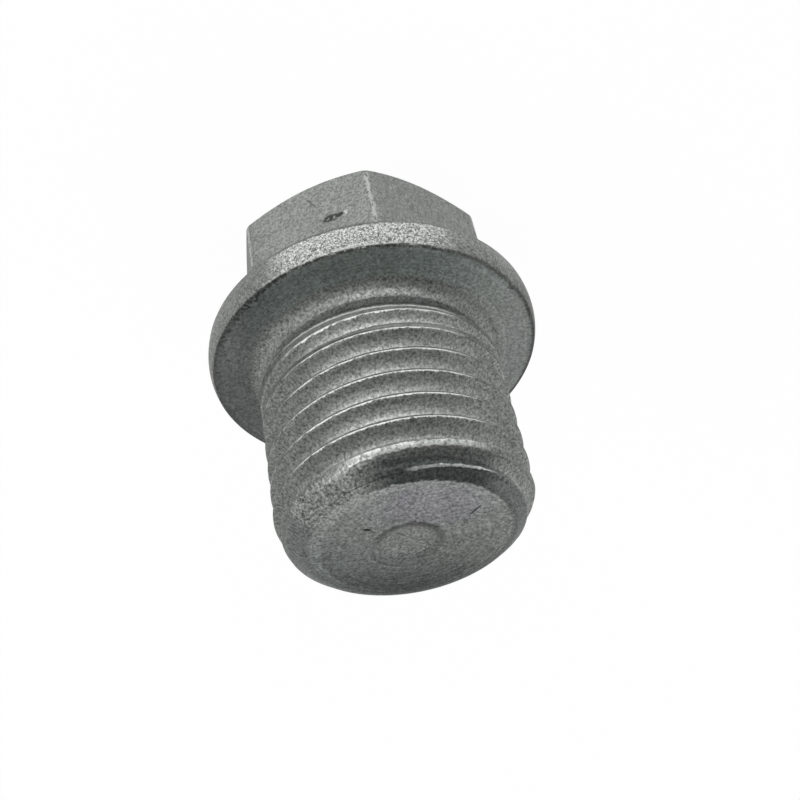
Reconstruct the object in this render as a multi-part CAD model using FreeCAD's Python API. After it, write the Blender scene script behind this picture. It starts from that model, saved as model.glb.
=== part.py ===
import FreeCAD, Part
import math
import os

# Oil drain plug: hexagon head, round flange and right-hand M14 x 1.5 thread, forged and rolled in one piece.
# It stands on its head: the origin is the middle of the head's end face, and +Z points along the axis to the tip.
# Sizes are in millimetres and degrees.

Vec = FreeCAD.Vector
Z_AXIS = Vec(0, 0, 1)

# hexagon head
ACROSS_FLATS = 13.8
HEAD_HEIGHT = 7.1             # from the head's end face to the flange
CORNER_RADIUS = 0.8           # rounding of the six upright corners
END_CHAMFER_INSET = 0.3       # the flat end circle lies this far inside the flats
END_CHAMFER_ANGLE = 35.0      # slope of the chamfer that takes off the corners, from the end face

# flange
FLANGE_RADIUS = 9.75          # at the crown of the rim
FLANGE_THICKNESS = 1.9
RIM_CROWN_HEAD = 0.12         # how much smaller the rim is at its head side
RIM_CROWN_BEARING = 0.2       # and at its bearing side
BEARING_BREAK_WIDTH = 0.45    # slope around the outside of the bearing face
BEARING_BREAK_DROP = 0.08

# shank between the bearing face and the thread
SHANK_RADIUS = 6.55
SHANK_FILLET = 1.3            # blend where the shank meets the bearing face
PLAIN_SHANK = 0.25            # straight shank between the blend and the thread

# thread
MAJOR_DIAMETER = 14.0
PITCH = 1.5
THREAD_LENGTH = 10.75         # from the end of the plain shank to the tip
FLANK_ANGLE = 60.0            # between the two sides of the groove
CREST_FLAT_SHARE = 0.125      # crest flat as a share of the pitch
ROOT_FLAT_SHARE = 0.167       # root flat as a share of the pitch
RUN_OUT_TURNS = 2.0           # the groove fades out towards the head over these turns
RUN_OUT_TURN = -98.0          # where it ends, round the axis from +X
RUN_OUT_BELOW = 0.3           # and how far below the end of the plain shank
RUN_OUT_CLEARANCE = 0.12      # there the groove's root stands this far outside the shank

# tip
LEAD_LENGTH = 1.0             # gentle first part of the narrowing
LEAD_DROP = 0.5
NOSE_LENGTH = 0.75            # steeper last part
NOSE_DROP = 0.95
DIMPLE_RADIUS = 2.0           # centre dimple in the end face
DIMPLE_DEPTH = 0.25

# places along the axis and radii that follow from the sizes above
MAJOR_RADIUS = MAJOR_DIAMETER / 2
BEARING_Z = HEAD_HEIGHT + FLANGE_THICKNESS
SHANK_END_Z = BEARING_Z + SHANK_FILLET + PLAIN_SHANK
TIP_Z = SHANK_END_Z + THREAD_LENGTH
NOSE_Z = TIP_Z - NOSE_LENGTH
LEAD_Z = NOSE_Z - LEAD_LENGTH
CORNER_REACH = ACROSS_FLATS / math.sqrt(3)

# half widths and depth of the groove's section
FLANK_SLOPE = math.tan(math.radians(FLANK_ANGLE / 2))
OPEN_HALF = PITCH * (1 - CREST_FLAT_SHARE) / 2
ROOT_HALF = PITCH * ROOT_FLAT_SHARE / 2
GROOVE_DEPTH = (OPEN_HALF - ROOT_HALF) / FLANK_SLOPE


def line(a, b):
    """Straight edge between two (radius, height) points of a turned outline."""
    return Part.LineSegment(Vec(a[0], 0, a[1]), Vec(b[0], 0, b[1])).toShape()


def arc(a, middle, b):
    return Part.Arc(*(Vec(p[0], 0, p[1]) for p in (a, middle, b))).toShape()


def blend(a, corner, b):
    """Smooth curve from a to b, tangent to both sides of the corner."""
    curve = Part.BezierCurve()
    curve.setPoles([Vec(p[0], 0, p[1]) for p in (a, corner, b)])
    return curve.toShape()


def turned(edges):
    """Solid that an outline in the XZ plane sweeps in one turn round the axis."""
    return Part.Face(Part.Wire(edges)).revolve(Vec(0, 0, 0), Z_AXIS, 360)


def chamfer_cone():
    """Round solid whose sloping wall takes the corners off the head's end."""
    end_radius = ACROSS_FLATS / 2 - END_CHAMFER_INSET
    wall_z = (CORNER_REACH - end_radius) * math.tan(math.radians(END_CHAMFER_ANGLE))
    points = [(0, 0), (end_radius, 0), (CORNER_REACH, wall_z), (CORNER_REACH, HEAD_HEIGHT), (0, HEAD_HEIGHT)]
    return turned([line(a, b) for a, b in zip(points, points[1:] + points[:1])])


def hexagon_head():
    turns = [math.radians(30 + 60 * k) for k in range(6)]
    corners = [Vec(CORNER_REACH * math.cos(t), CORNER_REACH * math.sin(t), 0) for t in turns]
    prism = Part.Face(Part.makePolygon(corners + corners[:1])).extrude(Z_AXIS * HEAD_HEIGHT)
    upright = [e for e in prism.Edges if abs(e.tangentAt(e.FirstParameter).z) > 0.5]
    return prism.makeFillet(CORNER_RADIUS, upright).common(chamfer_cone())


def rim_edges():
    """Flange outline from the axis on the head side, round the rim, to the foot of the shank's fillet."""
    head_edge = (FLANGE_RADIUS - RIM_CROWN_HEAD, HEAD_HEIGHT)
    crown = (FLANGE_RADIUS, HEAD_HEIGHT + FLANGE_THICKNESS / 2)
    bearing_edge = (FLANGE_RADIUS - RIM_CROWN_BEARING, BEARING_Z - BEARING_BREAK_DROP)
    face_edge = (bearing_edge[0] - BEARING_BREAK_WIDTH, BEARING_Z)
    return [
        line((0, HEAD_HEIGHT), head_edge),
        arc(head_edge, crown, bearing_edge),
        line(bearing_edge, face_edge),
        line(face_edge, (SHANK_RADIUS + SHANK_FILLET, BEARING_Z)),
    ]


def shank_edges():
    """Blend, plain shank and the cone that rises to the thread's full diameter."""
    foot = (SHANK_RADIUS + SHANK_FILLET, BEARING_Z)
    blend_top = (SHANK_RADIUS, BEARING_Z + SHANK_FILLET)
    shank_end = (SHANK_RADIUS, SHANK_END_Z)
    shoulder = (MAJOR_RADIUS, SHANK_END_Z + MAJOR_RADIUS - SHANK_RADIUS)
    return [
        blend(foot, (SHANK_RADIUS, BEARING_Z), blend_top),
        line(blend_top, shank_end),
        line(shank_end, shoulder),
        line(shoulder, (MAJOR_RADIUS, LEAD_Z)),
    ]


def tip_edges():
    """Two-step lead at the tip, the end face and the way back down the axis."""
    lead = (MAJOR_RADIUS, LEAD_Z)
    nose = (MAJOR_RADIUS - LEAD_DROP, NOSE_Z)
    face_edge = (nose[0] - NOSE_DROP, TIP_Z)
    points = [lead, nose, face_edge, (0, TIP_Z), (0, HEAD_HEIGHT)]
    return [line(a, b) for a, b in zip(points, points[1:])]


def dimple():
    """Ball whose cap sinks into the end face."""
    ball_radius = (DIMPLE_RADIUS ** 2 + DIMPLE_DEPTH ** 2) / (2 * DIMPLE_DEPTH)
    return Part.makeSphere(ball_radius, Vec(0, 0, TIP_Z - DIMPLE_DEPTH + ball_radius))


def groove_section(start):
    """Section of the groove in the plane through the axis and the helix's start point.

    Its mouth stands proud of the crests by half of what the crest flats cut off, so neighbouring turns stay apart.
    """
    top_half = OPEN_HALF + PITCH * CREST_FLAT_SHARE / 4
    side = Vec(start.x, start.y, 0).normalize()
    top = start + side * ((top_half - OPEN_HALF) / FLANK_SLOPE)
    root = start - side * GROOVE_DEPTH
    corners = [top - Z_AXIS * top_half, root - Z_AXIS * ROOT_HALF, root + Z_AXIS * ROOT_HALF, top + Z_AXIS * top_half]
    return Part.makePolygon(corners + corners[:1])


def helix_piece(z, turn, turns, radius, slope=0.0):
    """One piece of right-hand helix going up from (radius, turn, z), or down and outwards where it has a slope."""
    stretch = 1 / math.cos(slope)
    piece = Part.makeHelix(PITCH * stretch, turns * PITCH * stretch, radius, math.degrees(slope))
    if slope:
        piece.rotate(Vec(0, 0, 0), Vec(1, 0, 0), 180)
    piece.rotate(Vec(0, 0, 0), Z_AXIS, turn)
    piece.translate(Z_AXIS * z)
    return piece.Edges


def thread_groove():
    """Groove at full depth to past the tip, with a run-out on a cone towards the head."""
    joint_z = SHANK_END_Z - RUN_OUT_BELOW + RUN_OUT_TURNS * PITCH
    joint_turn = RUN_OUT_TURN + 360 * RUN_OUT_TURNS
    edges = []
    for k in range(math.ceil((TIP_Z + PITCH - joint_z) / PITCH)):
        edges += helix_piece(joint_z + k * PITCH, joint_turn, 1, MAJOR_RADIUS)
    root_rise = SHANK_RADIUS + RUN_OUT_CLEARANCE - (MAJOR_RADIUS - GROOVE_DEPTH)
    slope = math.atan(root_rise / (RUN_OUT_TURNS * PITCH))
    pieces = math.ceil(RUN_OUT_TURNS)
    step = RUN_OUT_TURNS / pieces
    for k in range(pieces):
        radius = MAJOR_RADIUS + root_rise * k / pieces
        edges += helix_piece(joint_z - k * step * PITCH, joint_turn - 360 * k * step, step, radius, slope)
    spine = Part.Wire(Part.__sortEdges__(edges))
    pipe = Part.BRepOffsetAPI.MakePipeShell(spine)
    pipe.setBiNormalMode(Z_AXIS)
    pipe.add(groove_section(spine.OrderedVertexes[0].Point))
    pipe.build()
    pipe.makeSolid()
    return pipe.shape()


def drain_plug():
    shank = turned(rim_edges() + shank_edges() + tip_edges())
    return shank.cut(thread_groove()).cut(dimple()).fuse(hexagon_head())


os.makedirs("parts", exist_ok=True)
plug = drain_plug()
plug.exportStep("parts/drain_plug.step")
print("drain_plug", len(plug.Solids), "solid, valid", plug.isValid(), "volume", round(plug.Volume, 1), "mm3")
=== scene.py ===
import bpy
import math
import numpy as np
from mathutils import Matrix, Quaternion, Vector


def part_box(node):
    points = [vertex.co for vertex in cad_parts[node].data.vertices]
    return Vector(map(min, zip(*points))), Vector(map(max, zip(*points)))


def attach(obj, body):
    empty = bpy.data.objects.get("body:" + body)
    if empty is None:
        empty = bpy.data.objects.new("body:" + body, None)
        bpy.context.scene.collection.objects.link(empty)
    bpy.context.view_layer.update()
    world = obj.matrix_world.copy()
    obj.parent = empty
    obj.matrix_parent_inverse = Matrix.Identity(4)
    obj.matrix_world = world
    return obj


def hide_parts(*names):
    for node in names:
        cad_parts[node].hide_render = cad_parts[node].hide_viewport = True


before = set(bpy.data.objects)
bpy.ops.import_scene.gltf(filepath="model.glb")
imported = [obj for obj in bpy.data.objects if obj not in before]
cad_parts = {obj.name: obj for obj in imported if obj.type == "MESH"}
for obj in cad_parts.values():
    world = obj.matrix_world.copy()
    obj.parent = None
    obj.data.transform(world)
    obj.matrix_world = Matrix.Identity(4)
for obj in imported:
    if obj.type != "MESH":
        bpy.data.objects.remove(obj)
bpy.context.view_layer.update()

mm = 0.001
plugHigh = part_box("drain_plug")[1]


class Wire:  # a socket that takes part in Python sums, each of which adds its Math node
    def __init__(self, graph, socket):
        self.graph = graph
        self.socket = socket

    def sum(self, operation, *values):
        return self.graph.add("ShaderNodeMath", {"operation": operation}, dict(enumerate(values)))

    def __add__(self, other):
        return self.sum("ADD", self, other)

    def __radd__(self, other):
        return self.sum("ADD", other, self)

    def __sub__(self, other):
        return self.sum("SUBTRACT", self, other)

    def __rsub__(self, other):
        return self.sum("SUBTRACT", other, self)

    def __mul__(self, other):
        return self.sum("MULTIPLY", self, other)

    def __rmul__(self, other):
        return self.sum("MULTIPLY", other, self)

    def __truediv__(self, other):
        return self.sum("DIVIDE", self, other)

    def __rtruediv__(self, other):
        return self.sum("DIVIDE", other, self)

    def __pow__(self, other):
        return self.sum("POWER", self, other)

    def __abs__(self):
        return self.sum("ABSOLUTE", self)

    def __gt__(self, other):
        return self.sum("GREATER_THAN", self, other)

    def __lt__(self, other):
        return self.sum("LESS_THAN", self, other)

    def atMost(self, other):
        return self.sum("MINIMUM", self, other)

    def atLeast(self, other):
        return self.sum("MAXIMUM", self, other)

    def rise(self, low, high):  # 0 below low, 1 above high, smooth between
        return self.graph.add("ShaderNodeMapRange", {"interpolation_type": "SMOOTHSTEP"},
                              {"Value": self, "From Min": low, "From Max": high})


class Graph:  # a node tree and the one method that adds a node to it
    def __init__(self, tree):
        self.tree = tree

    def add(self, kind, settings=None, inputs=None, output=0):
        node = self.tree.nodes.new(kind)
        for name, value in (settings or {}).items():
            setattr(node, name, value)
        for name, value in (inputs or {}).items():
            if isinstance(value, Wire):
                self.tree.links.new(value.socket, node.inputs[name])
            else:
                node.inputs[name].default_value = value
        return Wire(self, node.outputs[output]) if len(node.outputs) else node

    def parts(self, vector):
        split = self.add("ShaderNodeSeparateXYZ", None, {"Vector": vector}).socket.node
        return [Wire(self, socket) for socket in split.outputs]


# the plug's sizes, in millimetres and degrees
plug = {
    "acrossFlats": 13.8, "headHeight": 7.1, "cornerRound": 0.5, "endInset": 0.3, "endSlope": 35,
    "endEdge": (0.1, 0.05, 0.12),       # end circle's edge: flat to here inside it, bent and sloping outside it
    "wallEdge": (0.05, 0.035, 0.08),    # edge between chamfer and side: inwards, down and up from its corner
    "headFillet": 0.25,                 # small radius where the hexagon stands on the flange
    "flangeThickness": 1.9, "crownHead": 0.12, "crownBearing": 0.2,
    "rimRoundHead": 0.22, "rimRoundBearing": 0.07,
    "rimRoundLift": 0.012,              # height gained along the break where the rim's rounding ends
    "breakWidth": 0.45, "breakDrop": 0.08,
    "shankRadius": 6.55, "shankBlend": 1.3, "plainShank": 0.05,
    "leadLength": 1.0, "leadDrop": 0.5, "noseLength": 0.75, "noseDrop": 0.95,
    "noseRound": (0.14, 0.9),           # rounding of the end face's edge, inwards: where crisp, and added elsewhere
    "noseBack": (0.1, 0.17),            # the same, down the nose
    "crispTurn": -116, "crispReach": (50, 85),
    "endRings": (2.6, 1.2),             # inside these radii the end face's rows lie closer
    "dimpleRadius": 1.95, "dimpleDepth": 0.2, "dimplePlace": (0.15, 0.1),
    "dimpleFloor": 0.45,                # share of its radius that is flat
    "rimTrim": 0.05,                    # wear all round the rim
    "columns": 320,                     # meridians round the plug
    "cornerCrowding": 0.25,             # how much closer they lie at the hexagon's corners
}

thread = {
    "majorRadius": 7.0, "pitch": 1.5, "flankAngle": 60, "crestShare": 0.125, "rootShare": 0.167,
    "runOutTurns": 2.0, "runOutTurn": -98, "runOutBelow": 0.1, "runOutClearance": 0.2,
    "rootRound": 0.36, "crestRound": 0.05, "ragged": 0.045, "seed": 4,
    "rowsPerTurn": 24, "rowGaps": (0.02, 0.06),   # rows of the mesh, and how close they lie to a crest's edges
    "bandEnd": 0.45,                    # the thread's rows reach this far up the nose
}

# places where something struck the plug: half sizes along and across, and depth
dents = [
    {"place": (2.32, -6.63, 3.52), "inward": (-0.5, 0.866, 0), "along": (-1.12, -0.65, -0.05),
     "size": (0.62, 0.36), "depth": 0.07},
    {"place": (-7.5, -6.0, 8.9), "inward": (0.78, 0.62, -0.3), "along": (-0.62, 0.78, 0),
     "size": (0.22, 0.25), "depth": 0.12},
]

radiusRim = plugHigh.x / mm - plug["rimTrim"]
tipHeight = plugHigh.z / mm
bearingHeight = plug["headHeight"] + plug["flangeThickness"]
shankEnd = bearingHeight + plug["shankBlend"] + plug["plainShank"]
noseHeight = tipHeight - plug["noseLength"]
leadHeight = noseHeight - plug["leadLength"]
flankSlope = math.tan(math.radians(thread["flankAngle"] / 2))
openHalf = thread["pitch"] * (1 - thread["crestShare"]) / 2
rootHalf = thread["pitch"] * thread["rootShare"] / 2
grooveDepth = (openHalf - rootHalf) / flankSlope
veeDepth = openHalf / flankSlope
runOutEnd = shankEnd - thread["runOutBelow"]
runOutLength = thread["runOutTurns"] * thread["pitch"]


def meridians():
    even = np.arange(plug["columns"]) * 2 * math.pi / plug["columns"]
    return even + plug["cornerCrowding"] / 6 * np.sin(6 * (even - math.pi / 6) + math.pi)


def hexagonRadius(turn):  # distance from the axis to the hexagon's side, with its rounded corners
    half = plug["acrossFlats"] / 2
    rounding = plug["cornerRound"]
    toFlat = np.mod(turn + math.pi / 6, math.pi / 3) - math.pi / 6
    centre = (half - rounding) / math.cos(math.pi / 6)  # distance to the centre of a corner's arc
    aside = math.pi / 6 - np.abs(toFlat)
    chord = (centre * np.sin(aside)) ** 2
    onArc = centre * np.cos(aside) + np.sqrt(np.maximum(rounding ** 2 - chord, 0))
    arcStart = math.atan2(centre * math.sin(math.pi / 6), half)
    return np.where(np.abs(toFlat) > arcStart, onArc, half / np.cos(toFlat))


def quarter(start, corner, end, count):  # rounds a corner between two points of a profile
    share = np.linspace(0, 1, count)[:, None]
    start, corner, end = (np.array(p, float) for p in (start, corner, end))
    return (1 - share) ** 2 * start + 2 * share * (1 - share) * corner + share ** 2 * end


def run(start, end, count):  # evenly spaced points of a straight stretch, without its start
    share = np.linspace(0, 1, count + 1)[1:, None]
    return np.array(start, float) + share * (np.array(end, float) - np.array(start, float))


def headProfile(hexRadius):  # radius and height from the middle of the end face to the rim's first edge
    slope = math.tan(math.radians(plug["endSlope"]))
    endRadius = plug["acrossFlats"] / 2 - plug["endInset"]
    wallStart = (hexRadius - endRadius) * slope
    flatPart, bend, sloping = plug["endEdge"]
    coneStart = (endRadius + sloping, sloping * slope)
    inwards, down, up = plug["wallEdge"]
    coneEnd = (hexRadius - 1.2 * inwards, wallStart - 1.2 * down)  # a little short of the edge
    sideStart = (hexRadius, wallStart + up)
    fillet = plug["headFillet"]
    flange = plug["headHeight"]
    rimStart = (radiusRim - plug["crownHead"] - plug["rimRoundHead"], flange)
    return np.concatenate([
        run((0, 0), (endRadius - flatPart, 0), 7),
        quarter((endRadius, 0), (endRadius + bend, 0), coneStart, 3),
        run(coneStart, coneEnd, 4),
        quarter((hexRadius - inwards, wallStart - down), (hexRadius, wallStart), sideStart, 3),
        run(sideStart, (hexRadius, flange - fillet), 28),
        quarter((hexRadius, flange - fillet), (hexRadius, flange), (hexRadius + fillet, flange), 5)[1:],
        run((hexRadius + fillet, flange), rimStart, 6),
    ])


def rimProfile():  # round the flange and up the blend to the shank
    headEdge = radiusRim - plug["crownHead"]
    low = plug["headHeight"]
    lowRound = plug["rimRoundHead"]
    high = bearingHeight - plug["breakDrop"]
    highRound = plug["rimRoundBearing"]
    bearingEdge = radiusRim - plug["crownBearing"]
    heights = np.linspace(low + lowRound, high - highRound, 12)
    middle = (low + high) / 2
    crown = np.where(heights < middle, plug["crownHead"], plug["crownBearing"])
    radii = radiusRim - crown * ((heights - middle) / ((high - low) / 2)) ** 2
    breakStart = (bearingEdge - highRound, high + plug["rimRoundLift"])
    faceEdge = bearingEdge - plug["breakWidth"]
    foot = plug["shankRadius"] + plug["shankBlend"]
    return np.concatenate([
        quarter((headEdge - lowRound, low), (headEdge, low), (radii[0], heights[0]), 5)[1:-1],
        np.column_stack([radii, heights]),
        quarter((radii[-1], heights[-1]), (bearingEdge, high), breakStart, 4)[1:],
        run(breakStart, (faceEdge, bearingHeight), 4),
        run((faceEdge, bearingHeight), (foot, bearingHeight), 9),
        quarter((foot, bearingHeight), (plug["shankRadius"], bearingHeight),
                (plug["shankRadius"], bearingHeight + plug["shankBlend"]), 10)[1:],
    ])


def blankRadius(height):  # the turned shank before its thread is rolled
    shoulderEnd = shankEnd + thread["majorRadius"] - plug["shankRadius"]
    places = [0, shankEnd, shoulderEnd, leadHeight, noseHeight, tipHeight]
    nose = thread["majorRadius"] - plug["leadDrop"]
    radii = [plug["shankRadius"]] * 2 + [thread["majorRadius"]] * 2 + [nose, nose - plug["noseDrop"]]
    return np.interp(height, places, radii)


def smooth(value, low, high):
    share = np.clip((value - low) / (high - low), 0, 1)
    return share * share * (3 - 2 * share)


def tipProfile(start, turn):  # the last of the nose, its rounded edge and the end face to the axis
    faceEdge = thread["majorRadius"] - plug["leadDrop"] - plug["noseDrop"]
    fromCrisp = abs((math.degrees(turn) - plug["crispTurn"] + 180) % 360 - 180)
    soft = smooth(fromCrisp, *plug["crispReach"])
    inward = plug["noseRound"][0] + plug["noseRound"][1] * soft
    back = plug["noseBack"][0] + plug["noseBack"][1] * soft
    outer, inner = plug["endRings"]
    shoulder = (faceEdge + back * plug["noseDrop"] / plug["noseLength"], tipHeight - back)
    return np.concatenate([
        run((blankRadius(start), start), shoulder, 3),
        quarter(shoulder, (faceEdge, tipHeight), (faceEdge - inward, tipHeight), 6)[1:],
        run((faceEdge - inward, tipHeight), (outer, tipHeight), 13),
        run((outer, tipHeight), (inner, tipHeight), 10),
        run((inner, tipHeight), (0.0, tipHeight), 5),
    ])


def pressed(points):  # the dimple in the end face and the dents, pushed into an array of points in millimetres
    aside = np.hypot(points[:, 0] - plug["dimplePlace"][0], points[:, 1] - plug["dimplePlace"][1])
    cap = 1 - smooth(aside / plug["dimpleRadius"], plug["dimpleFloor"], 1.0)
    points[:, 2] -= np.where(points[:, 2] > tipHeight - 0.01, plug["dimpleDepth"] * cap, 0)
    nearby = 0.6  # a dent moves nothing deeper inside the plug than this
    for dent in dents:
        inward = np.array(dent["inward"], float) / np.linalg.norm(dent["inward"])
        along = np.array(dent["along"], float) / np.linalg.norm(dent["along"])
        offset = points - np.array(dent["place"])
        deep = offset @ inward
        far = (offset @ along / dent["size"][0]) ** 2 + (offset @ np.cross(inward, along) / dent["size"][1]) ** 2
        points += np.outer(np.where(np.abs(deep) < nearby, dent["depth"] * np.exp(-far ** 2), 0), inward)
    return points


def rowOffsets():  # heights of the helical rows above a groove's middle, over one pitch
    outer, inner = thread["rowGaps"]
    crestHalf = thread["pitch"] / 2 - openHalf
    crest = openHalf + np.array([outer, inner, crestHalf, 2 * crestHalf - inner, 2 * crestHalf - outer])
    groove = np.linspace(-openHalf + outer, openHalf - outer, thread["rowsPerTurn"] - len(crest))
    return np.concatenate([groove, crest])


def turnedBlank():
    # vertices are columns of one meridian each; the thread's rows climb by one pitch a turn and stop at two rings
    turn = meridians()
    columns = len(turn)
    hexRadius = hexagonRadius(turn)
    lower = [np.concatenate([headProfile(h), rimProfile()]) for h in hexRadius]
    bandLow = bearingHeight + plug["shankBlend"]
    bandHigh = noseHeight + thread["bandEnd"]
    upper = [tipProfile(bandHigh, angle) for angle in turn]
    points, faces = [], []

    def place(profile, angle):
        for radius, height in profile:
            points.append((radius * math.cos(angle), radius * math.sin(angle), height))

    lowerRows = len(lower[0])
    for angle, profile in zip(turn, lower):
        place(profile[1:], angle)
    lowerIndex = np.arange(columns * (lowerRows - 1)).reshape(columns, lowerRows - 1)
    upperStart = len(points)
    for angle, profile in zip(turn, upper):
        place(np.vstack([[blankRadius(bandHigh), bandHigh], profile[:-1]]), angle)
    upperRows = len(upper[0])
    upperIndex = upperStart + np.arange(columns * upperRows).reshape(columns, upperRows)

    # helical rows between the two rings; a row past a ring is the ring itself
    offsets = rowOffsets()
    perTurn = len(offsets)
    pitch = thread["pitch"]
    grooveAtX = runOutEnd - pitch * thread["runOutTurn"] / 360  # height of a groove's middle at +X
    firstTurn = math.floor((bandLow - grooveAtX) / pitch) - 2
    lastTurn = math.ceil((bandHigh - grooveAtX) / pitch) + 2
    rows = np.concatenate([grooveAtX + k * pitch + offsets for k in range(firstTurn, lastTurn)])
    bandIndex = np.zeros((columns, len(rows)), int)
    near = 0.02  # a row this close to a ring joins it
    for i, angle in enumerate(turn):
        heights = rows + pitch * angle / (2 * math.pi)
        for j, height in enumerate(heights):
            if height < bandLow + near:
                bandIndex[i, j] = lowerIndex[i, -1]
            elif height > bandHigh - near:
                bandIndex[i, j] = upperIndex[i, 0]
            else:
                bandIndex[i, j] = len(points)
                place([(blankRadius(height), height)], angle)
    poleHead = len(points)
    points.append((0, 0, 0))
    poleTip = len(points)
    points.append((0, 0, tipHeight))

    def strip(left, right):
        for a, b, c, d in zip(left[:-1], left[1:], right[1:], right[:-1]):
            corners = []
            for index in (a, d, c, b):
                if index not in corners:
                    corners.append(int(index))
            if len(corners) > 2:
                faces.append(corners)

    for i in range(columns):
        j = (i + 1) % columns
        strip(lowerIndex[i], lowerIndex[j])
        strip(upperIndex[i], upperIndex[j])
        if j:
            strip(bandIndex[i], bandIndex[j])
        else:  # the last column meets the first one a pitch higher
            strip(bandIndex[i][:-perTurn], bandIndex[j][perTurn:])
        faces.append([poleHead, int(lowerIndex[j][0]), int(lowerIndex[i][0])])
        faces.append([poleTip, int(upperIndex[i][-1]), int(upperIndex[j][-1])])
    mesh = bpy.data.meshes.new("drainPlug")
    mesh.from_pydata(pressed(np.array(points, float)) * mm, [], faces)
    mesh.update()
    return mesh


def besideGroove(height, turn, pitch, start):
    # for a place on the shank: how far along the axis the nearest groove's middle lies, with its sign,
    # and that middle's height
    phase = (height - start) / pitch - turn / (2 * math.pi)
    aside = (phase - phase.sum("ROUND", phase)) * pitch
    return aside, height - aside


def grooveRadius(aside, middle, size):  # distance of the groove's wall from the axis
    fade = ((size["Run Out Top"] - middle) / size["Run Out Length"]).atLeast(0) * size["Root Rise"]
    wall = ((aside / size["Flank Slope"]) ** 2 + size["Root Round"] ** 2) ** 0.5
    return fade + wall + size["Vee Radius"]


threadInputs = {
    "Pitch": thread["pitch"],
    "Groove Start": runOutEnd - thread["pitch"] * thread["runOutTurn"] / 360,
    "Vee Radius": thread["majorRadius"] - math.hypot(veeDepth, thread["rootRound"]),
    "Flank Slope": flankSlope,
    "Root Round": thread["rootRound"],
    "Run Out Top": runOutEnd + runOutLength,
    "Run Out Length": runOutLength,
    "Root Rise": plug["shankRadius"] + thread["runOutClearance"] - thread["majorRadius"] + grooveDepth,
    "Crest Round": thread["crestRound"],
    "Ragged": thread["ragged"],
    "Thread Foot": bearingHeight + plug["shankBlend"],
    "Seed": float(thread["seed"]),
}


def rollThreadTree(material):
    # presses the thread's groove into a turned blank, deep all along and fading out towards the head
    tree = bpy.data.node_groups.new("rollThread", "GeometryNodeTree")
    tree.interface.new_socket(name="Geometry", in_out="INPUT", socket_type="NodeSocketGeometry")
    for name, value in threadInputs.items():
        tree.interface.new_socket(name=name, in_out="INPUT", socket_type="NodeSocketFloat").default_value = value
    tree.interface.new_socket(name="Geometry", in_out="OUTPUT", socket_type="NodeSocketGeometry")
    graph = Graph(tree)
    given = tree.nodes.new("NodeGroupInput")
    size = {name: Wire(graph, given.outputs[name]) for name in threadInputs}
    place = graph.add("ShaderNodeVectorMath", {"operation": "SCALE"},
                      {0: graph.add("GeometryNodeInputPosition"), "Scale": 1 / mm})
    x, y, z = graph.parts(place)
    radius = (x * x + y * y) ** 0.5
    aside, middle = besideGroove(z, x.sum("ARCTAN2", y, x), size["Pitch"], size["Groove Start"])
    ragged = graph.add("ShaderNodeTexNoise", {"noise_dimensions": "4D"},
                       {"Vector": place, "W": size["Seed"], "Scale": 1.8, "Detail": 3.0, "Roughness": 0.6})
    groove = grooveRadius(abs(aside) + (ragged - 0.5) * size["Ragged"] * 4, middle, size)
    rolled = radius.sum("SMOOTH_MIN", radius, groove, size["Crest Round"])
    onShank = (z > size["Thread Foot"]) * (radius > 1)
    scale = (rolled / radius.atLeast(0.1) - 1) * onShank + 1
    moved = graph.add("ShaderNodeVectorMath", {"operation": "MULTIPLY"}, {
        0: graph.add("GeometryNodeInputPosition"),
        1: graph.add("ShaderNodeCombineXYZ", None, {"X": scale, "Y": scale, "Z": 1.0})})
    pressed = graph.add("GeometryNodeSetPosition", None,
                        {"Geometry": Wire(graph, given.outputs["Geometry"]), "Position": moved})
    real = graph.add("GeometryNodeRealizeInstances", None, {"Geometry": pressed})
    finished = graph.add("GeometryNodeSetMaterial", None, {"Geometry": real, "Material": material})
    out = tree.nodes.new("NodeGroupOutput")
    tree.links.new(finished.socket, out.inputs["Geometry"])
    return tree


def rolledPlug(material):
    blank = bpy.data.objects.new("drainPlug", turnedBlank())
    bpy.context.scene.collection.objects.link(blank)
    modifier = blank.modifiers.new("rollThread", "NODES")
    modifier.node_group = rollThreadTree(material)
    for socket in modifier.node_group.interface.items_tree:
        if socket.in_out == "INPUT" and socket.name in threadInputs:
            modifier[socket.identifier] = threadInputs[socket.name]
    evaluated = blank.evaluated_get(bpy.context.evaluated_depsgraph_get())
    mesh = bpy.data.meshes.new_from_object(evaluated)
    blank.modifiers.remove(modifier)
    blank.data = mesh
    mesh.shade_smooth()
    print("drain plug", len(mesh.vertices), "vertices", sum(len(p.vertices) - 2 for p in mesh.polygons), "triangles")
    return blank


# how the coating looks, with the tones of painted highlights and painted light among them, in millimetres where it
# is a length
coat = {
    "tone": 0.28, "metallic": 0.9, "roughness": 0.52, "turnedRoughness": 0.40,
    "grain": 1.3, "grainHeight": 0.012,      # contrast and height of the fine grain
    # crest, rim, lip and corner tones are partly wear and burrs and partly painted highlight; the root tone is
    # painted light
    "crestWearAndHighlightTone": 0.95, "rimWearAndHighlightTone": 0.88, "lipAndBurrHighlightTone": 0.95, "cornerWearAndHighlightTone": 0.62,
    "rootLightTone": 0.68, "breakTone": 0.07, "pitTone": 0.07,
    "purplePlace": (-0.62, -3.28),           # middle of the purple cast on the end face
}
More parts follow.
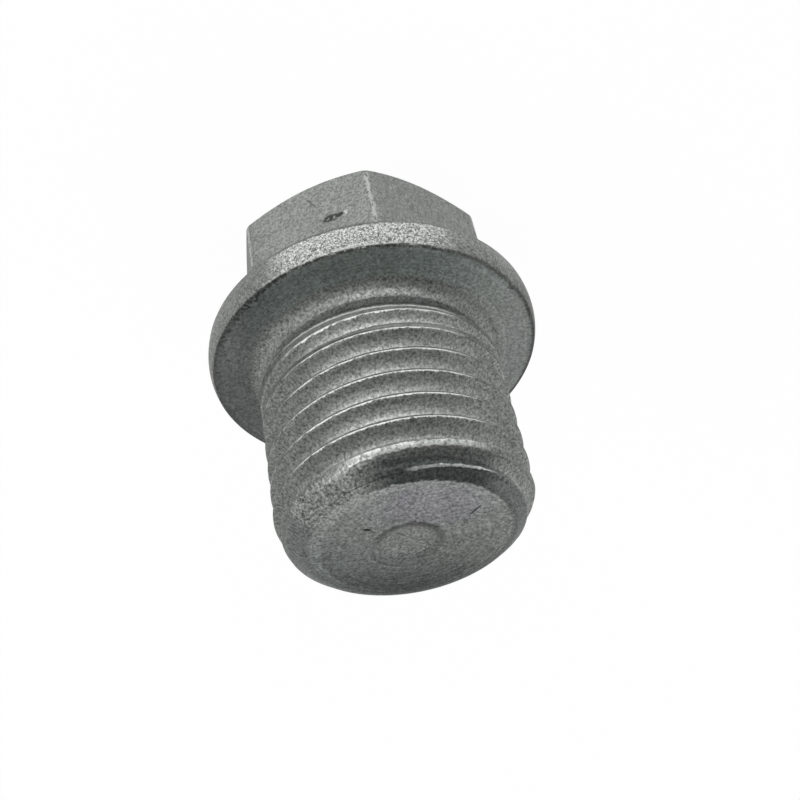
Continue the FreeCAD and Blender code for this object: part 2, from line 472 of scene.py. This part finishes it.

# marks in the coating, and one painted highlight: where, which way they run, half sizes along and across, and how
# ragged their edge is
marks = {
    "pit": {"spot": (2.19, -6.70, 3.47), "along": (-1.1, -0.63, 0.2), "size": (0.66, 0.3), "ragged": 0.8},
    "pitEnd": {"spot": (1.76, -6.95, 3.54), "along": (1.1, 0.63, 0.2), "size": (0.24, 0.2), "ragged": 0.4},
    # a painted highlight, not a mark
    "glint": {"spot": (1.42, -7.16, 3.56), "along": (0, 0, 1), "size": (0.24, 0.15), "ragged": 0.4},
    "graze": {"spot": (3.12, -6.16, 1.66), "along": (-0.4, -0.22, 0.9), "size": (0.6, 0.08), "ragged": 0.8},
    "nick": {"spot": (2.46, -1.52, tipHeight), "along": (1, -0.3, 0), "size": (0.24, 0.1), "ragged": 0.5},
    "nickTail": {"spot": (2.14, -1.3, tipHeight), "along": (1, -0.9, 0), "size": (0.25, 0.045), "ragged": 0.6},
    "scratch": {"spot": (-3.08, -2.5, tipHeight), "along": (0.6, 1.0, 0), "size": (0.55, 0.08), "ragged": 0.9},
    "rimNick": {"spot": (-7.47, -6.06, 9.0), "along": (1, 0, 0), "size": (0.2, 0.2), "ragged": 0.6},
}


def coatedSteel():
    material = bpy.data.materials.new("coatedSteel")
    material.use_nodes = True
    material.node_tree.nodes.clear()
    graph = Graph(material.node_tree)
    place = graph.add("ShaderNodeVectorMath", {"operation": "SCALE"},
                      {0: graph.add("ShaderNodeTexCoord", output="Object"), "Scale": 1 / mm})
    x, y, z = graph.parts(place)
    radius = (x * x + y * y) ** 0.5
    turn = x.sum("ARCTAN2", y, x)

    def noise(scale, detail=3.0, roughness=0.6, vector=place):
        return graph.add("ShaderNodeTexNoise", None,
                         {"Vector": vector, "Scale": scale, "Detail": detail, "Roughness": roughness})

    def vector(a, b, c):
        return graph.add("ShaderNodeCombineXYZ", None, {"X": a, "Y": b, "Z": c})

    def facing(degrees, low, high):  # 1 on the side that faces this way round the axis
        way = math.radians(degrees)
        return ((x * math.cos(way) + y * math.sin(way)) / radius.atLeast(0.01)).rise(low, high)

    def near(spot, along, size, ragged=0.0):  # 1 inside an ellipse round a spot on the surface
        way = np.array(along, float) / np.linalg.norm(along)
        dx, dy, dz = x - spot[0], y - spot[1], z - spot[2]
        lengthwise = dx * float(way[0]) + dy * float(way[1]) + dz * float(way[2])
        crosswise = dx * dx + dy * dy + dz * dz - lengthwise * lengthwise
        reach = (lengthwise * lengthwise / size[0] ** 2 + crosswise.atLeast(0) / size[1] ** 2) ** 0.5
        return 1 - (reach + tear * ragged).rise(0.75, 1.0)

    fine = noise(6.5, 4.0, 0.8)
    sand = noise(3.6, 3.0, 0.65)
    torn = noise(2.4, 4.0, 0.7)
    cloud = noise(0.7, 4.0, 0.6)
    tear, grit, haze = torn - 0.5, sand - 0.5, cloud - 0.5   # the last three about zero
    wornAndLitSide = facing(-77, 0.78, 0.94)          # the side towards the camera, where wear and painted highlights are put
    onWall = (1 - z.rise(6.95, 7.05)) * radius.rise(6.7, 6.85)
    onRim = radius.rise(radiusRim - 0.3, radiusRim - 0.26)
    onBearing = z.rise(bearingHeight - 0.06, bearingHeight - 0.03) * radius.rise(7.2, 7.6)
    softEdge = radius.rise(5.3, 5.6)
    tornEdge = (radius + tear * 0.5 + grit * 0.3).rise(5.38, 5.46)
    endEdge = softEdge + (tornEdge - softEdge) * facing(-108, 0.5, 0.8)
    onEnd = z.rise(tipHeight - 0.3, tipHeight - 0.28) * (1 - endEdge)
    onNose = z.rise(noseHeight - 0.1, noseHeight + 0.1) * (1 - onEnd)

    speck = fine.rise(0.3, 0.7)              # crisper grain
    grain = coat["grain"] * (1 - onBearing * 0.25 - onWall * 0.25)
    even = z.rise(10.3, 10.5) * (1 - z.rise(19.8, 20.2))     # the thread has little but its finest grain
    tone = coat["tone"] * (1 + (speck - 0.5) * grain + grit * (0.5 - even * 0.35) + haze * (0.4 - even * 0.2))
    height = (speck - 0.5) * coat["grainHeight"] + grit * coat["grainHeight"] * (1.2 - even * 0.8)
    rough = coat["roughness"] + (fine - 0.5) * 0.2 + haze * 0.1

    # head: painted light and shade making one face lighter and others darker, short upright flecks on one, and
    # corners worn to a bright pitted strip, partly a painted highlight
    flecks = 1 - noise(1.0, 4.0, 0.7, vector(x * 4, y * 4, z * 1.3)).rise(0.34, 0.46)
    litHexFace = facing(-60, 0.8, 0.9)
    rightFace = facing(-120, 0.8, 0.9)
    shadedHexFace = facing(0, 0.8, 0.9)
    # painted light and shade: whole faces of the hexagon lighter or darker by which way they face; the flecks are
    # real
    tone = tone * (1 + (litHexFace * 0.26 + rightFace * (0.08 - flecks * 0.3) - shadedHexFace * 0.4) * onWall)
    sixth = turn / (math.pi / 3) - 0.5
    fromCorner = abs(sixth - sixth.sum("ROUND", sixth)) * (math.pi / 3) * radius
    # corners: bright pitted strip, partly wear and partly painted highlight, brightest on the side towards the
    # camera
    strip = (1 - (fromCorner + tear * 0.5 + grit * 0.2).rise(0.06, 0.16)) * onWall * sand.rise(0.38, 0.5)
    tone = tone + (coat["cornerWearAndHighlightTone"] - tone) * strip * (0.7 + facing(-90, 0.95, 0.99) * 0.3)

    # rim of the flange: bright grains between dark wandering lines, rubbed bright with painted highlight on the side
    # towards the camera, painted shade over the rim, most along a smooth darker edge at the head side, and a few
    # shiny burrs with painted highlight over a dark ragged break at the bearing side
    wideLines = 1 - abs(noise(5.2, 2.0, 0.55) - 0.5).rise(0.0, 0.07)
    thinLines = 1 - abs(noise(8.0, 2.0) - 0.5).rise(0.0, 0.06)
    lines = wideLines.atLeast(thinLines * 0.7)
    raggedZ = z + tear * 0.5 + grit * 0.2
    # rubbed bright, partly wear and partly painted highlight, mostly on the side towards the camera
    rubbedAndLit = onRim * (0.12 + facing(-81, 0.82, 0.95) * 0.88) * (z + tear * 0.25 + grit * 0.2).rise(7.4, 7.5)
    # painted shade: the rim darkened, most along its head-side edge and least on the side at -118 degrees, and
    # darker again on the side at -175 degrees
    tone = tone * (1 - onRim * (0.25 + (1 - z.rise(7.18, 7.26)) * 0.5) * (1 - facing(-118, 0.8, 0.97) * 0.7))
    tone = tone * (1 - onRim * facing(-175, 0.8, 0.95) * 0.35)
    tone = tone + (coat["rimWearAndHighlightTone"] * (0.7 + speck * 0.9) * (1 - lines * 0.9) - tone) * rubbedAndLit
    height = height - lines * 0.02 * rubbedAndLit
    # painted highlight along the lip at the bearing side, on the side towards the camera, partly shiny burrs
    lipHighlight = (raggedZ + grit * 0.3).rise(8.76, 8.82) * (1 - z.rise(8.88, 8.92)) * onRim * wornAndLitSide
    lipHighlight = lipHighlight * noise(1.6).rise(0.42, 0.5)
    tone = tone + (coat["lipAndBurrHighlightTone"] - tone) * lipHighlight * (0.4 + speck * 0.6)
    chips = noise(4.0, 3.0, 0.7)
    broken = (radius + tear * 0.6 + grit * 0.3 - wornAndLitSide * 0.3).rise(9.05, 9.15) * z.rise(8.86, 8.92)
    tone = tone * (1 - broken * 0.15)
    broken = broken * (0.15 + facing(-60, 0.6, 0.8) * 0.7) * (chips + wornAndLitSide * 0.08).rise(0.48, 0.54)
    tone = tone + (coat["breakTone"] - tone) * broken

    # bearing face and end face: turned rings, painted light and shade on their sides, painted shade on the dimple's
    # edge and a lighter dimple floor
    rings = noise(1.0, 3.0, 0.7, vector(radius * 4.5, 0.0, 0.0))
    tone = tone * (1 + (rings - 0.5) * (onBearing * 0.9 + onEnd * (0.7 + y.rise(-1.0, 3.0) * 1.6)))
    # painted light and shade: the bearing face lighter or darker round the axis by which way it faces
    bearingPaintedLight = 0.5 + facing(-85, 0.6, 0.95) * 0.25 + facing(-160, 0.0, 0.9) * 0.5 - facing(30, 0.7, 0.95) * 0.4
    tone = tone * (1 + onBearing * bearingPaintedLight)
    # painted shade on the bearing face's outer part, on the side towards the camera
    tone = tone * (1 - onBearing * radius.rise(8.0, 9.3) * facing(-77, 0.5, 0.9) * 0.25)
    # painted light and shade: the end face lighter at its near side and darker towards its far side
    tone = tone * (1 + onEnd * (1.25 - y.rise(-6.0, 6.0) * 1.15 - y.rise(1.0, 6.0) * 0.55))
    height = height + (rings - 0.5) * 0.01 * (onBearing + onEnd)
    rough = rough - (onBearing + onEnd) * (coat["roughness"] - coat["turnedRoughness"])
    dimpleX, dimpleY = plug["dimplePlace"]
    fromDimple = ((x - dimpleX) ** 2.0 + (y - dimpleY) ** 2.0) ** 0.5 + grit * 0.5
    dimpleEdgeShade = fromDimple.rise(1.35, 1.75) * (1 - fromDimple.rise(1.85, 2.1)) * onEnd
    dimpleFloor = (1 - fromDimple.rise(1.2, 1.6)) * onEnd
    # painted shade round the dimple's edge, most on its -Y side; the dimple's floor lighter
    tone = tone * (1 - dimpleEdgeShade * (0.2 + (1 - y.rise(-1.6, 0.4)) * 0.35) + dimpleFloor * 0.15)

    # blend under the thread: painted light over it, a painted highlight along a narrow ring, and painted shadow
    # above and painted shade below it on the side towards the camera
    onBlend = (1 - radius.rise(7.2, 7.6)) * (1 - z.rise(10.4, 10.5)) * (z > 8.95)
    raggedRing = z + grit * 0.3
    blendHighlight = raggedRing.rise(9.40, 9.58) * (1 - raggedRing.rise(9.68, 9.88)) * facing(-98, 0.84, 0.95) * 0.55
    neckShadow = z.rise(9.82, 9.92) * facing(-85, 0.3, 0.8)
    foot = (1 - z.rise(9.35, 9.5)) * facing(-80, 0.6, 0.85)
    # painted light and highlight on the blend and its ring, painted shadow on the neck and painted shade at the foot
    tone = tone * (1 + onBlend * (0.45 + blendHighlight - foot * 0.2 - neckShadow * 0.65))

    # thread: painted light in the groove, lighter towards its root on the side towards the camera; the crests are
    # rubbed bright, partly wear and partly painted highlight, most along the edge towards the tip; painted shade
    # dims them elsewhere
    aside, middle = besideGroove(z, turn, thread["pitch"], threadInputs["Groove Start"])
    across = aside - aside.sum("SIGN", aside) * (thread["pitch"] / 2)
    blank = (plug["shankRadius"] + (z - shankEnd).atLeast(0)).atMost(thread["majorRadius"])
    blank = blank.atMost(thread["majorRadius"] - (z - leadHeight) * (plug["leadDrop"] / plug["leadLength"]))
    uncut = grooveRadius(abs(aside), middle, threadInputs) - blank
    onThread = z.rise(shankEnd + 0.2, shankEnd + 0.4) * (1 - z.rise(noseHeight - 0.1, noseHeight))
    litThreadSide = facing(-78, 0.64, 0.88)
    flank = onThread * (1 - uncut.rise(-0.02, 0.0))
    rootPaintedLight = (1 - (abs(aside) / openHalf).rise(0.15, 0.85)) * flank * facing(-90, 0.55, 0.95)
    rootPaintedLight = rootPaintedLight * (1 - (middle > 18.2) * 0.55)           # less so in the groove nearest the tip
    # painted light: flanks lighter, less so on the side towards the camera, and the thread lighter on the side at
    # -150 degrees
    tone = tone * (1 + flank * (0.4 - litThreadSide * 0.18) + onThread * facing(-150, 0.5, 0.9) * 0.35)
    # painted light towards the groove's root on the side towards the camera
    tone = tone + (coat["rootLightTone"] * (0.4 + speck * 1.1) - tone) * rootPaintedLight
    ragged = uncut + tear * 0.4 + grit * 0.45
    topped = onThread * (1 - (across + grit * 0.3 - (z < 12) * 1.0).rise(0.11, 0.15))
    lastCrest = z.rise(19.4, 19.6)
    faint = noise(1.3).rise(0.45, 0.6) * facing(-40, 0.0, 0.3) * (1 - lastCrest) * 0.35
    # crests rubbed bright, partly wear and partly painted highlight, on the side towards the camera, with faint ones
    # on the side at -40 degrees
    wornAndLit = (litThreadSide * (1 - lastCrest * (1 - facing(-93, 0.72, 0.92)))).atLeast(faint)
    crest = ragged.rise(-0.01, 0.04) * topped * wornAndLit
    tipEdge = (1 - (uncut + tear * 0.25 + grit * 0.2).rise(0.13, 0.18)) * (aside < 0)
    headEdge = (1 - (uncut + tear * 0.1).rise(0.03, 0.06)) * (aside > 0) * (0.5 + (z < 12.5) * 0.5)
    firstEdge = 1 - (abs(z - shankEnd - 0.62 + tear * 0.15) + grit * 0.15).rise(0.03, 0.07)
    pitting = chips.rise(0.4, 0.52)
    edgeWearAndHighlight = tipEdge.atLeast(lastCrest * (0.35 + pitting * 0.65)).atLeast(headEdge.atLeast(firstEdge))
    # painted shade: crests darker away from the side towards the camera
    tone = tone * (1 - uncut.rise(-0.04, 0.0) * (1 - litThreadSide) * onThread * (0.35 - lastCrest * 0.2))
    lastCrestShade = uncut.rise(-0.04, -0.01) * (1 - uncut.rise(0.0, 0.03)) * (aside > 0) * (z > 18.5) * litThreadSide
    tone = tone * (1 - lastCrestShade * 0.6)                       # painted shade along the last crest's head side
    # bright crest edges: partly wear and partly painted highlight
    edgeWearAndHighlight = (0.16 + (z < 12.5) * 0.2 + edgeWearAndHighlight * 0.84) * (0.7 + speck * 0.6)
    tone = tone + (coat["crestWearAndHighlightTone"] * (sand + torn - 0.05).atLeast(0.2) * edgeWearAndHighlight.atMost(1.0) - tone) * crest
    rough = rough - crest * 0.2 + onThread * (1 - litThreadSide) * 0.1

    # tip: painted shade on the side towards the camera but for one burr with a painted highlight, rough and pitted
    # beside it
    shaded = z.rise(19.95, 20.2) * (1 - onEnd) * facing(-95, 0.75, 0.93)
    tone = tone * (1 - shaded * 0.52)
    burrAcross = abs(z - middle - 0.13 + tear * 0.1)
    burrHighlight = (1 - (burrAcross + grit * 0.12).rise(0.03, 0.07)) * z.rise(20.4, 20.5) * facing(-106, 0.9, 0.96)
    # painted highlight along a burr on the nose, on the side towards the camera
    tone = tone + (coat["lipAndBurrHighlightTone"] * (0.7 + pitting * 0.3) - tone) * burrHighlight * (1 - onEnd)
    rough = rough - burrHighlight * (1 - onEnd) * 0.2
    patch = facing(-46, 0.86, 0.93) * (z + tear * 0.4).rise(20.1, 20.3) * (1 - onEnd)
    holes = 1 - noise(3.4, 3.0, 0.7).rise(0.34, 0.42)
    # a rough pitted patch, also lightened as painted light
    tone = tone * (1 + patch * (0.6 + (speck - 0.5) * 0.4 + tear * 2.0 - holes * 1.1))
    height = height + patch * (tear * 0.06 - holes * 0.04)
    lighterEdgeRing = facing(0, 0.0, 0.6) * radius.rise(4.6, 5.1) * (1 - radius.rise(5.6, 6.2)) * z.rise(21.0, 21.1)
    # lighter ring round the end face's edge, on its +X side
    tone = tone * (1 + lighterEdgeRing * 0.3)

    # marks: a pitted oval, a painted highlight beside it and a graze on one face of the head, nicks and a scratch on
    # the end face and the rim
    pit = near(**marks["pit"])
    pitted = pit * (1 - chips.rise(0.49, 0.57)) * 0.95
    pitted = pitted.atLeast(near(**marks["pitEnd"]))
    # the pit's oval a little lighter, and a painted highlight (the glint) beside it
    tone = tone * (1 + pit * 0.1 + near(**marks["glint"]) * 0.6)
    tone = tone + (coat["pitTone"] - tone) * pitted
    height = height - pitted * 0.05
    tone = tone * (1 - near(**marks["graze"]) * 0.4)
    nick = near(**marks["nick"]).atLeast(near(**marks["nickTail"]) * 0.7)
    tone = tone * (1 - nick * 0.97) * (1 - near(**marks["scratch"]) * 0.75) * (1 - near(**marks["rimNick"]) * 0.7)

    # a breath of purple on the end face, and of green there and on the other turned faces
    purpleX, purpleY = coat["purplePlace"]
    fromPurple = ((x - purpleX) ** 2.0 / 10.0 + (y - purpleY) ** 2.0 / 4.0) ** 0.5
    purple = (1 - (fromPurple + haze * 0.8).rise(0.5, 1.3)) * onEnd * 0.8
    green = (onBearing + onNose).atMost(1) * (1 - onEnd) * (1 - burrHighlight.atLeast(patch))
    green = green * (0.3 + facing(-77, 0.3, 0.9) * 0.5) + onEnd * (y + x * 0.6).rise(-1.0, 5.0) * 0.6
    bump = graph.add("ShaderNodeBump", None, {"Height": height, "Distance": mm, "Strength": 1.0})
    colour = graph.add("ShaderNodeCombineColor", None, {
        "Red": tone * (0.965 + purple * 0.03 - green * 0.08), "Green": tone * (1 - purple * 0.02),
        "Blue": tone * (0.965 + purple * 0.08)})
    shader = graph.add("ShaderNodeBsdfPrincipled", None, {
        "Base Color": colour, "Metallic": coat["metallic"], "Normal": bump, "Roughness": rough})
    graph.add("ShaderNodeOutputMaterial", None, {"Surface": shader})
    print("coating", len(material.node_tree.nodes), "nodes")
    return material


blank = rolledPlug(coatedSteel())

# floor and room: how white they look, and how far the floor reaches in metres
studio = {"floorReach": 2, "floorGrey": 0.8, "floorGlow": 1.07, "glowShare": 0.9, "room": 0.2, "white": 1.0}


def floorMaterial():
    # looks white to the camera and in the metal, and keeps a faint shadow
    material = bpy.data.materials.new("paleFloor")
    material.use_nodes = True
    material.node_tree.nodes.clear()
    graph = Graph(material.node_tree)
    grey = studio["floorGrey"]
    paper = graph.add("ShaderNodeBsdfDiffuse", None, {"Color": (grey, grey, grey, 1)})
    glow = graph.add("ShaderNodeEmission", None, {"Color": (1, 1, 1, 1), "Strength": studio["floorGlow"]})
    seen = graph.add("ShaderNodeLightPath", output="Is Camera Ray").atLeast(
        graph.add("ShaderNodeLightPath", output="Is Glossy Ray"))
    mixed = graph.add("ShaderNodeMixShader", None, {0: seen * studio["glowShare"], 1: paper, 2: glow})
    graph.add("ShaderNodeOutputMaterial", None, {"Surface": mixed})
    return material


def paleFloor():
    reach = studio["floorReach"]
    mesh = bpy.data.meshes.new("floor")
    mesh.from_pydata([(-reach, -reach, 0), (reach, -reach, 0), (reach, reach, 0), (-reach, reach, 0)], [],
                     [(0, 1, 2, 3)])
    mesh.materials.append(floorMaterial())
    floor = bpy.data.objects.new("floor", mesh)
    bpy.context.scene.collection.objects.link(floor)
    return floor


floor = paleFloor()


def studioWorld():
    # white to the camera alone: what the plug sees above the floor is a dim room
    world = bpy.data.worlds.new("studio")
    world.use_nodes = True
    world.node_tree.nodes.clear()
    graph = Graph(world.node_tree)
    seen = graph.add("ShaderNodeLightPath", output="Is Camera Ray")
    room = graph.add("ShaderNodeBackground", None, {"Color": (1, 1, 1, 1), "Strength": studio["room"]})
    white = graph.add("ShaderNodeBackground", None, {"Color": (1, 1, 1, 1), "Strength": studio["white"]})
    mixed = graph.add("ShaderNodeMixShader", None, {0: seen, 1: room, 2: white})
    graph.add("ShaderNodeOutputWorld", None, {"Surface": mixed})
    bpy.context.scene.world = world
    print("floor and world ready")


studioWorld()

# soft panels in a ring: where each stands in degrees as seen from the plug, its size in metres and its brightness
panels = {
    "frontPanel": {"azimuth": -80, "elevation": 13, "size": (0.3, 0.18), "radiance": 2.2},
    "leftPanel": {"azimuth": -20, "elevation": 20, "size": (0.3, 0.18), "radiance": 1.8},
    "backLeftPanel": {"azimuth": 40, "elevation": 20, "size": (0.3, 0.18), "radiance": 0.8},
    "backPanel": {"azimuth": 116, "elevation": 44, "size": (0.2, 0.12), "radiance": 1.2},
    "backRightPanel": {"azimuth": 165, "elevation": 15, "size": (0.3, 0.18), "radiance": 1.0},
}
panelDistance = 0.4
panelTarget = Vector((0, 0, 0.012))


def softPanel(name, azimuth, elevation, size, radiance):
    lamp = bpy.data.lights.new(name, "AREA")
    lamp.shape = "RECTANGLE"
    lamp.size, lamp.size_y = size
    lamp.energy = radiance * math.pi * size[0] * size[1]
    holder = bpy.data.objects.new(name, lamp)
    around, up = math.radians(azimuth), math.radians(elevation)
    way = Vector((math.cos(around) * math.cos(up), math.sin(around) * math.cos(up), math.sin(up)))
    holder.location = panelTarget + way * panelDistance
    holder.rotation_euler = (-way).to_track_quat("-Z", "Y").to_euler()
    bpy.context.scene.collection.objects.link(holder)


for name, panel in panels.items():
    softPanel(name, **panel)
print(len(panels), "soft panels")

# the photograph's viewing angle: places in millimetres, roll in degrees
view = {
    "spot": (9.950, -50.143, 52.341), "aim": (-0.897, -0.195, 11.935),
    "roll": 168.08, "lens": 51.30, "sensor": 36,
}


def photographCamera():
    camera = bpy.data.objects.new("camera", bpy.data.cameras.new("camera"))
    camera.data.sensor_width = view["sensor"]
    camera.data.lens = view["lens"]
    camera.data.clip_start = mm
    spot, aim = (Vector(view[place]) * mm for place in ("spot", "aim"))
    roll = Quaternion((0, 0, 1), math.radians(view["roll"]))
    camera.location = spot
    camera.rotation_mode = "QUATERNION"
    camera.rotation_quaternion = (aim - spot).to_track_quat("-Z", "Y") @ roll
    bpy.context.scene.collection.objects.link(camera)
    bpy.context.scene.camera = camera
    print("camera placed")


photographCamera()

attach(blank, "root")
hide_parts("drain_plug")
bpy.context.scene.view_settings.view_transform = "Standard"
